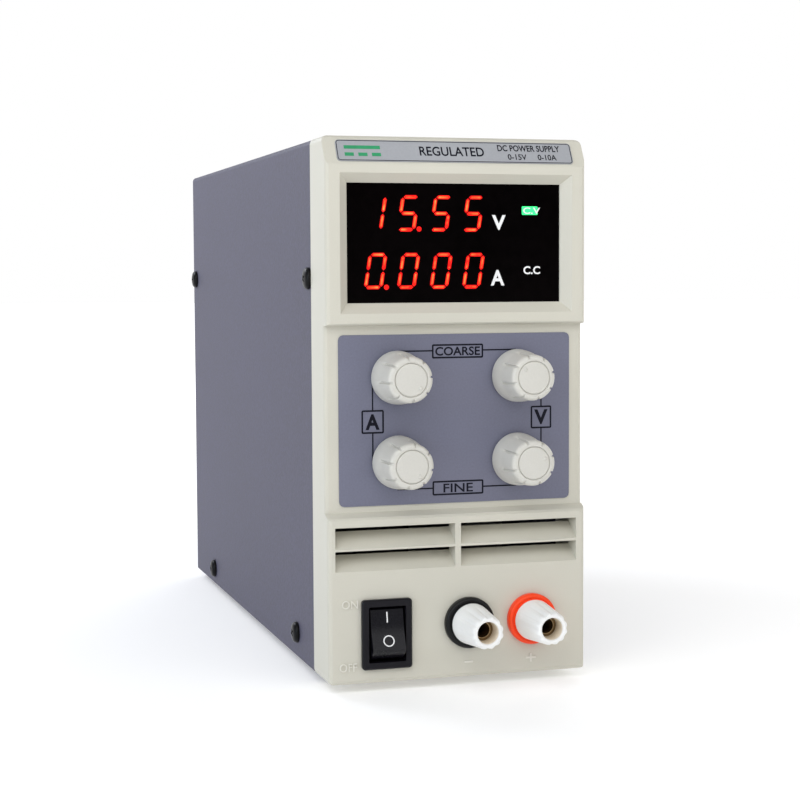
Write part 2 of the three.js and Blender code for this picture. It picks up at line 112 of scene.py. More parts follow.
def surface(name, colour, shade=0.9, grain=900.0, blotch=30.0, rough=(0.4, 0.5), bump=0.1, depth=0.00005,
            metallic=0.0, specular=0.5, stretch=(1, 1, 1), speckle=0.5, glow=0.0, second=None):
    """Principled surface whose colour and roughness vary with fine grain and wide blotches.

    The grain also makes its relief, depth metres high. The darker colour is colour * shade, and the lighter
    one is second, or as far to the other side.
    """
    material = bpy.data.materials.new(name)
    material.use_nodes = True
    tree = material.node_tree
    add, link = tree.nodes.new, tree.links.new
    bsdf = tree.nodes["Principled BSDF"]
    bsdf.inputs["Metallic"].default_value = metallic
    bsdf.inputs["Specular IOR Level"].default_value = specular
    place = add("ShaderNodeTexCoord")
    mapping = add("ShaderNodeMapping")
    mapping.inputs["Scale"].default_value = stretch
    link(place.outputs["Object"], mapping.inputs["Vector"])
    noises = []
    for scale, detail in ((grain, 3.0), (blotch, 2.0)):
        noise = add("ShaderNodeTexNoise")
        noise.inputs["Scale"].default_value = scale
        noise.inputs["Detail"].default_value = detail
        link(mapping.outputs["Vector"], noise.inputs["Vector"])
        noises.append(noise)
    both = add("ShaderNodeMix")
    both.inputs["Factor"].default_value = speckle
    link(noises[1].outputs["Fac"], both.inputs["A"])
    link(noises[0].outputs["Fac"], both.inputs["B"])
    ramp = add("ShaderNodeValToRGB")
    dark, light = ramp.color_ramp.elements
    dark.position, light.position = NOISE_LOW, NOISE_HIGH
    dark.color = (*[c * shade for c in colour], 1)
    light.color = (*(second or [min(1.0, c * (2 - shade)) for c in colour]), 1)
    link(both.outputs["Result"], ramp.inputs["Fac"])
    link(ramp.outputs["Color"], bsdf.inputs["Base Color"])
    spread = add("ShaderNodeMapRange")
    spread.inputs["From Min"].default_value, spread.inputs["From Max"].default_value = ROUGH_LOW, ROUGH_HIGH
    spread.inputs["To Min"].default_value, spread.inputs["To Max"].default_value = rough
    link(both.outputs["Result"], spread.inputs["Value"])
    link(spread.outputs["Result"], bsdf.inputs["Roughness"])
    if bump:
        relief = add("ShaderNodeBump")
        relief.inputs["Strength"].default_value = bump
        relief.inputs["Distance"].default_value = depth
        link(noises[0].outputs["Fac"], relief.inputs["Height"])
        link(relief.outputs["Normal"], bsdf.inputs["Normal"])
    if glow:
        link(ramp.outputs["Color"], bsdf.inputs["Emission Color"])
        bsdf.inputs["Emission Strength"].default_value = glow
    return material


SURFACES = {
    "bezel_plastic": dict(colour=(0.592, 0.572, 0.492), shade=0.975, grain=3500, rough=(0.42, 0.52),
        bump=0.12, specular=0.4),
    "window_plastic": dict(colour=(0.0016, 0.0011, 0.0012), shade=0.7, grain=400, rough=(0.10, 0.16),
        bump=0.0, specular=0.02),
    "board": dict(colour=(0.03, 0.14, 0.06), shade=0.8, grain=300, rough=(0.35, 0.5), bump=0.2),
    "led_module": dict(colour=(0.08, 0.02, 0.015), shade=0.9, rough=(0.4, 0.5)),
    "led_lit": dict(colour=(0.47, 0.004, 0.005), shade=1.0, second=(0.78, 0.012, 0.008), grain=330,
        speckle=1.0, rough=(0.5, 0.6), glow=0.9, bump=0.0, specular=0.05),
    "led_core": dict(colour=(0.80, 0.010, 0.008), shade=1.0, second=(1.0, 0.17, 0.04), grain=300, speckle=1.0,
        rough=(0.5, 0.6), glow=0.95, bump=0.0, specular=0.05),
    "led_green": dict(colour=(0.03, 0.85, 0.22), shade=0.9, grain=700, glow=0.7, bump=0.0),
    "strip": dict(colour=(0.375, 0.385, 0.41), shade=0.96, grain=1500, rough=(0.34, 0.42), bump=0.05,
        metallic=0.15, specular=0.3),
    "overlay": dict(colour=(0.160, 0.164, 0.224), shade=0.93, grain=1700, rough=(0.42, 0.5), bump=0.2,
        specular=0.3),
    "pot_metal": dict(colour=(0.55, 0.56, 0.58), shade=0.9, rough=(0.25, 0.4), metallic=0.9, bump=0.1),
    "shaft_steel": dict(colour=(0.62, 0.63, 0.65), shade=0.9, rough=(0.2, 0.3), metallic=1.0,
        stretch=(1, 9, 1), bump=0.1),
    "knob_plastic": dict(colour=(0.60, 0.585, 0.535), shade=0.97, grain=2500, rough=(0.32, 0.42), bump=0.08),
    "switch_plastic": dict(colour=(0.008, 0.0075, 0.0105), shade=0.85, grain=3200, rough=(0.26, 0.36),
        bump=0.1, specular=0.16),
    "post_black": dict(colour=(0.009, 0.009, 0.0095), shade=0.85, grain=2500, rough=(0.22, 0.34), bump=0.08,
        specular=0.18),
    "post_red": dict(colour=(0.95, 0.060, 0.011), shade=0.93, grain=2500, rough=(0.24, 0.34), bump=0.08,
        specular=0.28),
    "brass": dict(colour=(0.74, 0.53, 0.29), shade=0.85, grain=1200, rough=(0.26, 0.4), metallic=0.7,
        bump=0.1),
    "cap_plastic": dict(colour=(0.87, 0.87, 0.855), shade=0.985, grain=2500, rough=(0.34, 0.44), bump=0.06),
    "case_paint": dict(colour=(0.085, 0.082, 0.120), shade=0.76, grain=1150, blotch=9, rough=(0.5, 0.64),
        bump=0.6, depth=0.00016, speckle=0.84, specular=0.26),
    "tray_metal": dict(colour=(0.085, 0.082, 0.120), shade=0.78, grain=1150, blotch=9, rough=(0.5, 0.64),
        bump=0.55, depth=0.00016, speckle=0.84, specular=0.26),
    "screw_black": dict(colour=(0.006, 0.006, 0.0065), shade=0.8, grain=1800, rough=(0.26, 0.38),
        metallic=0.2, bump=0.1, specular=0.15),
    "foot_rubber": dict(colour=(0.02, 0.02, 0.022), shade=0.8, grain=1500, rough=(0.75, 0.9), bump=0.25),
    "fan_plastic": dict(colour=(0.028, 0.028, 0.031), shade=0.85, grain=2200, rough=(0.38, 0.5), bump=0.15),
    "guard_steel": dict(colour=(0.72, 0.73, 0.74), shade=0.9, grain=1500, rough=(0.14, 0.24), metallic=1.0,
        bump=0.05),
    "inlet_plastic": dict(colour=(0.012, 0.012, 0.014), shade=0.85, grain=2600, rough=(0.34, 0.46),
        bump=0.15),
    "pin_metal": dict(colour=(0.72, 0.72, 0.71), shade=0.92, grain=900, rough=(0.16, 0.26), metallic=1.0,
        bump=0.05),
    "selector_red": dict(colour=(0.42, 0.02, 0.012), shade=0.9, grain=2200, rough=(0.3, 0.4), bump=0.1),
    "ferrite": dict(colour=(0.09, 0.085, 0.08), shade=0.8, grain=800, rough=(0.5, 0.7), bump=0.3),
    "heatsink_aluminium": dict(colour=(0.60, 0.61, 0.63), shade=0.9, rough=(0.3, 0.42), metallic=1.0,
        stretch=(1, 0.1, 1)),
    # painted highlight: a lighter copy of the bezel plastic for the raised marks
    "mark_painted_highlight": dict(colour=(0.73, 0.71, 0.64), shade=0.97, grain=2500, rough=(0.4, 0.5), bump=0.08,
        specular=0.4),
    "rocker_face": dict(colour=(0.0055, 0.0052, 0.0078), shade=0.8, grain=3200, rough=(0.24, 0.34), bump=0.1,
        specular=0.24),
    # painted shade: a darker, warm-tinted copy of the cap plastic for the inner walls of the caps' mouths
    "cap_inner_painted_shade": dict(colour=(0.80, 0.71, 0.57), shade=0.93, grain=1500, rough=(0.4, 0.5), bump=0.05,
        specular=0.3),
    # painted shade: a darker copy of the brass for the post inserts, which sit deep inside the caps
    "brass_painted_shade": dict(colour=(0.30, 0.20, 0.10), shade=0.8, grain=1200, rough=(0.35, 0.5), metallic=0.7,
        bump=0.1),
    # painted shade: near-black brown for the faces inside the brass tubes' bores
    "bore_painted_shade": dict(colour=(0.05, 0.03, 0.015), shade=0.8, grain=900, rough=(0.5, 0.6), bump=0.0,
        specular=0.05),
    "print_dark": dict(colour=(0.006, 0.006, 0.012), shade=0.8, grain=2500, rough=(0.4, 0.5), bump=0.0,
        specular=0.12),
    "print_white": dict(colour=(0.80, 0.80, 0.80), shade=0.97, grain=2500, rough=(0.4, 0.5), bump=0.0),
}
MATERIALS = {slot: surface(slot, **look) for slot, look in SURFACES.items()}


FLOOR_GLOW = ((0.2, 0.3), (1.6, 0.9))  # distance from the middle in m and strength: near, far


def floor_material():
    """White table: glows a little near the unit and more far out, so it meets the backdrop without a line."""
    material = surface("floor_sweep", colour=(0.80, 0.80, 0.80), shade=0.99, grain=40, blotch=2,
                       rough=(0.7, 0.8), bump=0.0, specular=0.1)
    tree = material.node_tree
    add, link = tree.nodes.new, tree.links.new
    place, length, ramp = add("ShaderNodeTexCoord"), add("ShaderNodeVectorMath"), add("ShaderNodeMapRange")
    length.operation = "LENGTH"
    link(place.outputs["Object"], length.inputs[0])
    link(length.outputs["Value"], ramp.inputs["Value"])
    (near, near_glow), (far, far_glow) = FLOOR_GLOW
    for socket, value in (("From Min", near), ("From Max", far), ("To Min", near_glow), ("To Max", far_glow)):
        ramp.inputs[socket].default_value = value
    bsdf = tree.nodes["Principled BSDF"]
    bsdf.inputs["Emission Color"].default_value = (1, 1, 1, 1)
    link(ramp.outputs["Result"], bsdf.inputs["Emission Strength"])
    return material


LOBES = (("Y", 1, 1.1), ("Y", -1, 0.08), ("X", -1, 0.12), ("X", 1, 0.2), ("Z", 1, 0.3))  # axis, sign, level
BACKDROP = 1  # level that the camera sees


def studio():
    """World light: for each lobe the squared cosine to its axis. The camera itself sees a plain backdrop."""
    world = bpy.data.worlds.new("studio")
    scene.world = world
    world.use_nodes = True
    tree = world.node_tree
    add, link = tree.nodes.new, tree.links.new
    place, axes = add("ShaderNodeTexCoord"), add("ShaderNodeSeparateXYZ")
    link(place.outputs["Generated"], axes.inputs["Vector"])
    total = None
    for axis, sign, level in LOBES:
        facing, square, lobe = (add("ShaderNodeMath") for _ in range(3))
        facing.operation, square.operation, lobe.operation = "MULTIPLY", "POWER", "MULTIPLY_ADD"
        facing.use_clamp = True
        for node, value in ((facing, sign), (square, 2), (lobe, level)):
            node.inputs[1].default_value = value
        lobe.inputs[2].default_value = 0
        link(axes.outputs[axis], facing.inputs[0])
        link(facing.outputs["Value"], square.inputs[0])
        link(square.outputs["Value"], lobe.inputs[0])
        if total:
            link(total.outputs["Value"], lobe.inputs[2])
        total = lobe
    path, backdrop = add("ShaderNodeLightPath"), add("ShaderNodeMix")
    link(path.outputs["Is Camera Ray"], backdrop.inputs["Factor"])
    link(total.outputs["Value"], backdrop.inputs["A"])
    backdrop.inputs["B"].default_value = BACKDROP
    link(backdrop.outputs["Result"], tree.nodes["Background"].inputs["Color"])


# ---- mesh helpers --------------------------------------------------------------------
CORNER_STEPS = 5


def mesh_of(bm, name):
    bmesh.ops.recalc_face_normals(bm, faces=bm.faces)
    mesh = bpy.data.meshes.new(name)
    bm.to_mesh(mesh)
    bm.free()
    return mesh


def piece(name, bm, body, slot, smooth=35, replaces=(), material=None, inner=None):
    """Makes one object. inner = (material, point, radius in mm), for faces near the Y line through point."""
    mesh = mesh_of(bm, name)
    mesh.materials.append(material or MATERIALS[slot])
    if inner:
        mesh.materials.append(inner[0])
        for face in mesh.polygons:
            off = face.center - inner[1]
            face.material_index = int(math.hypot(off.x, off.z) < inner[2] / 1000)
    mesh.shade_smooth()
    mesh.set_sharp_from_angle(angle=math.radians(smooth))
    made = bpy.data.objects.new(name, mesh)
    scene.collection.objects.link(made)
    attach(made, body)
    if replaces:
        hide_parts(*replaces)
    return made


def lathe(profile, angles, origin, axis=Y, zero=Z, shape=None):
    """Turns (radius, height) in mm about an axis; a profile that starts off the axis closes on itself.

    angles is a count of even steps, or a list of angles from zero. shape(angle, radius, height) gives a new
    radius.
    """
    bm = bmesh.new()
    across = axis.cross(zero)
    if not isinstance(angles, list):
        angles = [2 * math.pi * i / angles for i in range(angles)]
    rings = []
    for r, h in profile:
        if r == 0:
            rings.append([bm.verts.new(origin + axis * h / 1000)])
            continue
        ring = []
        for a in angles:
            rr = (shape(a, r, h) if shape else r) / 1000
            spoke = zero * rr * math.cos(a) + across * rr * math.sin(a)
            ring.append(bm.verts.new(origin + axis * h / 1000 + spoke))
        rings.append(ring)
    pairs = list(zip(rings, rings[1:])) + ([(rings[-1], rings[0])] if len(rings[0]) > 1 else [])
    for low, high in pairs:
        for i in range(len(angles)):
            j = (i + 1) % len(angles)
            corners = []
            for v in (low[i % len(low)], low[j % len(low)], high[j % len(high)], high[i % len(high)]):
                if v not in corners:
                    corners.append(v)
            bm.faces.new(corners)
    return bm


def join_loops(bm, a, b):
    """Faces between two closed rows of as many points."""
    for i in range(len(a)):
        j = (i + 1) % len(a)
        bm.faces.new((a[i], a[j], b[j], b[i]))


def slab(bm, outline, depth, origin, right=X, up=Z, out=-Y):
    """Adds a flat plate: outline (u, v) in mm on the plane of right and up, standing depth mm out of it."""
    low = [bm.verts.new(origin + right * u / 1000 + up * v / 1000) for u, v in outline]
    high = [bm.verts.new(v.co + out * depth / 1000) for v in low]
    bm.faces.new(low[::-1])
    bm.faces.new(high)
    join_loops(bm, low, high)


def ribbon(bm, a, b, width, depth, origin, **axes):
    """A straight printed line from a to b on a plane."""
    a, b = Vector(a), Vector(b)
    along = (b - a).normalized()
    side = Vector((-along.y, along.x)) * width / 2
    slab(bm, [tuple(a - side), tuple(b - side), tuple(b + side), tuple(a + side)], depth, origin, **axes)


def round_box(x0, x1, z0, z1, r):
    """Outline of a rectangle with round corners, each in CORNER_STEPS steps."""
    corners = [(x1 - r, z1 - r, 0), (x0 + r, z1 - r, 1), (x0 + r, z0 + r, 2), (x1 - r, z0 + r, 3)]
    outline = []
    for cx, cz, quarter in corners:
        for i in range(CORNER_STEPS + 1):
            a = (quarter + i / CORNER_STEPS) * math.pi / 2
            outline.append((cx + r * math.cos(a), cz + r * math.sin(a)))
    return outline


def outline_box(bm, x0, x1, z0, z1, r, width, depth, origin, **axes):
    """A printed frame: the band between two rounded rectangles."""
    outer = round_box(x0, x1, z0, z1, r)
    inner = round_box(x0 + width, x1 - width, z0 + width, z1 - width, max(0.05, r - width))
    for i in range(len(outer)):
        j = (i + 1) % len(outer)
        slab(bm, [outer[i], outer[j], inner[j], inner[i]], depth, origin, **axes)


def lettering(name, text, box, body, slot, origin, depth=0.04, bold=0.0, right=X, up=Z, out=-Y,
              material=None):
    """Text stretched to box (u0, u1, v0, v1) in mm on a plane, standing depth mm out of it."""
    curve = bpy.data.curves.new(name, "FONT")
    curve.body, curve.extrude, curve.offset, curve.resolution_u = text, 0.05, bold, 4
    holder = bpy.data.objects.new(name, curve)
    scene.collection.objects.link(holder)
    bpy.context.view_layer.update()
    mesh = bpy.data.meshes.new_from_object(holder.evaluated_get(bpy.context.evaluated_depsgraph_get()))
    bpy.data.objects.remove(holder)
    bm = bmesh.new()
    bm.from_mesh(mesh)
    bmesh.ops.remove_doubles(bm, verts=bm.verts, dist=1e-5)
    low = [min(v.co[k] for v in bm.verts) for k in range(3)]
    high = [max(v.co[k] for v in bm.verts) for k in range(3)]
    u0, u1, v0, v1 = box
    for v in bm.verts:
        u = u0 + (u1 - u0) * (v.co.x - low[0]) / (high[0] - low[0])
        w = v0 + (v1 - v0) * (v.co.y - low[1]) / (high[1] - low[1])
        d = depth * (v.co.z - low[2]) / (high[2] - low[2])
        v.co = origin + (right * u + up * w + out * d) / 1000
    return piece(name, bm, body, slot, material=material)


def bevel(bm, width, segments, angle):
    """Rounds the edges that turn by more than angle degrees, width mm wide."""
    sharp = [e for e in bm.edges if len(e.link_faces) == 2 and e.calc_face_angle(0) > math.radians(angle)]
    bmesh.ops.bevel(bm, geom=sharp, offset=width / 1000, segments=segments, profile=0.5, affect="EDGES",
                    clamp_overlap=True)


# ---- CAD nodes keep their shape and take the materials ----------------------------------
SOFT_EDGES = {  # mm
    "front_bezel": 0.3, "case_cover": 0.15, "inlet_housing": 0.3, "fuse_drawer": 0.25, "selector_body": 0.2,
    "selector_slider": 0.25, "inlet_pin_line": 0.3, "inlet_pin_neutral": 0.3, "inlet_pin_earth": 0.3,
    "name_strip": 0.08, "control_overlay": 0.06, "fan_frame": 0.25, "heatsink": 0.2}
BEVEL_ANGLE, SHARP_ANGLE = 25, 35  # degrees
slot_of = {row["node"]: row["material_slot"] for row in frame["record"]["subparts"]}
for name, node in nodes.items():
    # the post inserts take the darker brass: painted shade deep inside the caps
    look = "brass_painted_shade" if name.startswith("post_insert") else slot_of[name]
    node.data.materials.clear()
    node.data.materials.append(MATERIALS[look])
    if "custom_normal" in node.data.attributes:
        node.data.attributes.remove(node.data.attributes["custom_normal"])
    node.data.shade_smooth()
    if name in SOFT_EDGES:
        edge = node.modifiers.new("edge", "BEVEL")
        edge.width, edge.segments, edge.limit_method = SOFT_EDGES[name] / 1000, 2, "ANGLE"
        edge.angle_limit = math.radians(BEVEL_ANGLE)
    else:
        node.data.set_sharp_from_angle(angle=math.radians(SHARP_ANGLE))
    flats = node.modifiers.new("flats", "WEIGHTED_NORMAL")
    flats.keep_sharp, flats.weight = True, 100


# ---- display ---------------------------------------------------------------------------
SEGMENTS = {"0": "abcdef", "1": "bc", "5": "acdfg"}
DIGIT_WIDTH, DIGIT_HEIGHT, STROKE = 5.7, 10.55, 1.08  # mm
DIGIT_LEAN = math.tan(math.radians(9))
DIGIT_X, DIGIT_STEP = -24.2, 10  # mm, middle of the first digit and pitch
SEGMENT_GAP, DOT_RADIUS = 0.2, 0.75  # mm
FLAT, LIT, RAISED = 0.04, 0.05, 0.07  # mm, thickness of marks on the window


def digit(bm, glyph, cx, cz, origin, thin=1.0, depth=LIT):
    """Seven-segment figure with slanted segments; thin < 1 draws only their cores."""
    r, top = (DIGIT_WIDTH - STROKE) / 2, (DIGIT_HEIGHT - STROKE) / 2
    lines = {"a": ((-r, top), (r, top)), "g": ((-r, 0), (r, 0)), "d": ((-r, -top), (r, -top)),
             "b": ((r, 0), (r, top)), "c": ((r, -top), (r, 0)),
             "e": ((-r, -top), (-r, 0)), "f": ((-r, 0), (-r, top))}
    tip, gap = thin * STROKE / 2, SEGMENT_GAP + (1 - thin) * STROKE
    for segment in SEGMENTS[glyph]:
        a, b = (Vector(p) for p in lines[segment])
        along = (b - a).normalized()
        side = Vector((-along.y, along.x)) * tip
        start, end = a + along * (gap + tip), b - along * (gap + tip)
        points = [a + along * gap, start + side, end + side, b - along * gap, end - side, start - side]
        slab(bm, [(cx + p.x + p.y * DIGIT_LEAN, cz + p.y) for p in points], depth, origin)


def dot(bm, cx, cz, r, origin):
    angles = [k * math.pi / 10 for k in range(20)]
    slab(bm, [(cx + r * math.cos(a), cz + r * math.sin(a)) for a in angles], LIT, origin)


def display():
    origin = at(0, mm(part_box("display_window")[0])[1], 0)
    for name, glyphs, cz, point in (("voltage_digits", "1555", 137.25, (-10.95, 132.7)),
                                    ("current_digits", "0000", 120.5, (-20.95, 115.8))):
        bm, core = bmesh.new(), bmesh.new()
        for k, glyph in enumerate(glyphs):
            cx = DIGIT_X + DIGIT_STEP * k
            digit(bm, glyph, cx, cz, origin)
            digit(core, glyph, cx, cz, origin, thin=0.5, depth=RAISED)
        dot(bm, *point, DOT_RADIUS, origin)
        piece(name, bm, "chassis", "led_lit", smooth=20)
        piece(name + "_core", core, "chassis", "led_lit", smooth=20, material=MATERIALS["led_core"])
    bm = bmesh.new()
    slab(bm, round_box(21.0, 26.0, 137.0, 139.5, 0.3), FLAT, origin)
    piece("mode_lamp", bm, "chassis", "led_green", smooth=20)
    for name, text, box, depth, bold in (
            ("unit_volt", "V", (11.6, 15.9, 132.5, 136.9), FLAT, 0.03),
            ("unit_amp", "A", (11.2, 15.5, 116.1, 120.7), FLAT, 0.03),
            ("mode_cv", "C.V", (21.4, 26.8, 137.3, 139.2), RAISED, 0.015),
            ("mode_cc", "C.C", (21.5, 26.8, 119.4, 121.8), FLAT, 0.025)):
        lettering(name, text, box, "chassis", "print_white", origin, depth=depth, bold=bold)


# ---- printed films -----------------------------------------------------------------------
INK = 0.03  # mm thick
LINE_WIDTH, FRAME_WIDTH, FRAME_RADIUS = 0.42, 0.5, 0.5  # mm
STRIP_DEPTH, STRIP_RISE = 4.2, 7.7  # mm, the slanted face that carries the strip
STRIP_FACE = 0.000175  # m, from the strip's middle to its face


def overlay_print():
    origin = at(0, mm(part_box("control_overlay")[0])[1], 0)
    bm = bmesh.new()
    for a, b in (((-18.2, 97.1), (-7.4, 97.1)), ((8.5, 97.1), (18.8, 97.1)), ((-18.2, 56.5), (-7.4, 56.5)),
                 ((8.5, 56.5), (18.8, 56.5)), ((-25.6, 89.4), (-25.6, 80.1)), ((-25.6, 73.2), (-25.6, 64.7)),
                 ((26.8, 89.4), (26.8, 80.1)), ((26.8, 73.3), (26.8, 64.7))):
        ribbon(bm, a, b, LINE_WIDTH, INK, origin)
    for x0, x1, z0, z1 in ((-7.4, 8.5, 94.8, 99.0), (-7.4, 8.5, 54.3, 58.6), (-29.0, -22.2, 73.2, 80.1),
                           (23.5, 30.1, 73.3, 80.1)):
        outline_box(bm, x0, x1, z0, z1, FRAME_RADIUS, FRAME_WIDTH, INK, origin)
    piece("overlay_lines", bm, "chassis", "print_dark", smooth=20)
    for name, text, box, bold in (("label_coarse", "COARSE", (-6.4, 7.5, 95.6, 98.2), 0.022),
                                  ("label_fine", "FINE", (-4.0, 5.2, 55.1, 57.7), 0.012),
                                  ("label_amps", "A", (-27.8, -23.5, 74.3, 78.9), 0.035),
                                  ("label_volts", "V", (24.6, 28.9, 74.5, 79.0), 0.035)):
        lettering(name, text, box, "chassis", "print_dark", origin, depth=INK, bold=bold)


def strip_print():
    low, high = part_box("name_strip")
    slant = math.atan2(STRIP_DEPTH, STRIP_RISE)
    up, out = Vector((0, math.sin(slant), math.cos(slant))), Vector((0, -math.cos(slant), math.sin(slant)))
    middle = Vector((0, (low.y + high.y) / 2, (low.z + high.z) / 2)) + out * STRIP_FACE
    bm = bmesh.new()
    outline_box(bm, -36.0, 36.0, -3.4, 3.4, 0.9, 0.22, INK, middle, up=up, out=out)
    piece("strip_border", bm, "chassis", "print_dark", smooth=20)
    for name, text, box, bold in (("strip_word", "REGULATED", (-11.2, 8.6, -1.5, 1.65), 0.015),
                                  ("strip_title", "DC POWER SUPPLY", (13.0, 32.6, 0.45, 2.6), 0.02),
                                  ("strip_volts", "0-15V", (15.8, 21.7, -2.45, -0.5), 0.015),
                                  ("strip_amps", "0-10A", (25.2, 31.1, -2.45, -0.5), 0.015)):
        lettering(name, text, box, "chassis", "print_dark", middle, depth=INK, bold=bold, up=up, out=out)
    # direct-current symbol: one long bar over three short ones
    left, thick = -33.8, 1.15
    bars = [((left, 1.05), (-23.0, 1.05))]
    bars += [((left + 4.05 * k, -1.35), (-31.1 + 4.05 * k, -1.35)) for k in range(3)]
    bm = bmesh.new()
    for a, b in bars:
        ribbon(bm, a, b, thick, INK, middle, up=up, out=out)
    green = surface("strip_green", colour=(0.02, 0.30, 0.12), shade=0.9, rough=(0.3, 0.4), bump=0.0)
    piece("strip_dc_symbol", bm, "chassis", "led_green", smooth=20, material=green)


# ---- knobs ---------------------------------------------------------------------------------
KNOB_PROFILE = [
    (0, -9.6), (3.0, -9.6), (3.0, -0.2), (5.7, -0.2), (5.7, 1.8), (7.62, 1.8), (7.84, 1.6), (7.85, 1.2),
    (7.7, -1.2), (7.5, -2.9), (7.28, -4.0), (7.22, -4.4), (7.16, -4.8), (7.1, -5.3), (6.95, -7.4),
    (6.8, -10.0), (6.7, -11.2), (6.64, -11.7), (6.52, -12.1), (6.26, -12.48), (5.95, -12.68), (5.5, -12.8),
    (5.02, -12.84), (4.94, -12.72), (4.88, -12.4), (4.74, -12.4), (4.68, -12.66), (4.52, -12.78),
    (2.5, -12.86), (0, -12.88)]
DOT_PROFILE = [(0, -12.7), (0.6, -12.7), (0.57, -13.0), (0.4, -13.14), (0, -13.2)]
KNOB_DOT_RADIUS = 3.6  # mm from the knob's axis
SLITS, SLIT_DEPTH = 8, 0.5  # mm deep
SLIT_HALF = 0.44 / 7  # radians: half of a slit's width over its radius
SLIT_START, SLIT_FULL = -3.6, -4.8  # mm, heights where a slit begins and is at its depth
SLIT_KEEP = 5.6  # mm, radii under this stay whole


def turn_from(a, offset, count):
    """Angle from a to the nearest of count even marks."""
    step = 2 * math.pi / count
    return abs((a - offset + step / 2) % step - step / 2)


def slit_angles(offset):
    """Angles for a lathe with slits: close together at each slit, even between them."""
    between, edge = 11, 1.25
    step, angles = 2 * math.pi / SLITS, []
    gap = step - 2 * edge * SLIT_HALF
    for k in range(SLITS):
        middle = offset + k * step
        angles += [middle + SLIT_HALF * t for t in (-edge, -1.0, -0.45, 0.45, 1.0, edge)]
        angles += [middle + edge * SLIT_HALF + gap * (i + 1) / (between + 1) for i in range(between)]
    return angles


def slits(offset):
    """Lathe shape: narrow slits with slanted sides that run out towards the skirt."""
    def shape(a, r, h):
        if r < SLIT_KEEP or h >= SLIT_START:
            return r
        share = min(1.0, (h - SLIT_START) / (SLIT_FULL - SLIT_START))
        inside = (1.001 * SLIT_HALF - turn_from(a, offset, SLITS)) / (0.55 * SLIT_HALF)
        return r - SLIT_DEPTH * share * min(1.0, max(0.0, inside))
    return shape


def knob(name, dot_angle, turn):
    """Knob with its pointer dot and its slits at these angles in degrees."""
    body = "knob_" + name
    x, _, z = centre_mm(body)
    offset, a = math.radians(turn), math.radians(dot_angle)
    bm = lathe(KNOB_PROFILE, slit_angles(offset), at(x, 0, z), shape=slits(offset))
    piece("knob_shell_" + name, bm, body, "knob_plastic", smooth=32, replaces=["knob_" + name])
    middle = at(x + KNOB_DOT_RADIUS * math.sin(a), 0, z + KNOB_DOT_RADIUS * math.cos(a))
    piece("knob_dot_" + name, lathe(DOT_PROFILE, 20, middle), body, "knob_plastic")


# ---- rocker switch -----------------------------------------------------------------------------
ROCK = math.radians(16.5)  # of the rocker at rest
PIVOT = 3.1  # mm behind the bezel's face
PADDLE_WIDTH, PADDLE_RADIUS = 9.95, 8.05  # mm
FACE_MIDDLE, FACE_END, FACE_HALF = -4.85, -5.47, 5.9  # mm from the pivot: middle and end, and half its length
INLAY = 0.05  # mm thick
INLAY_LIFT = 0.00004  # m off the face


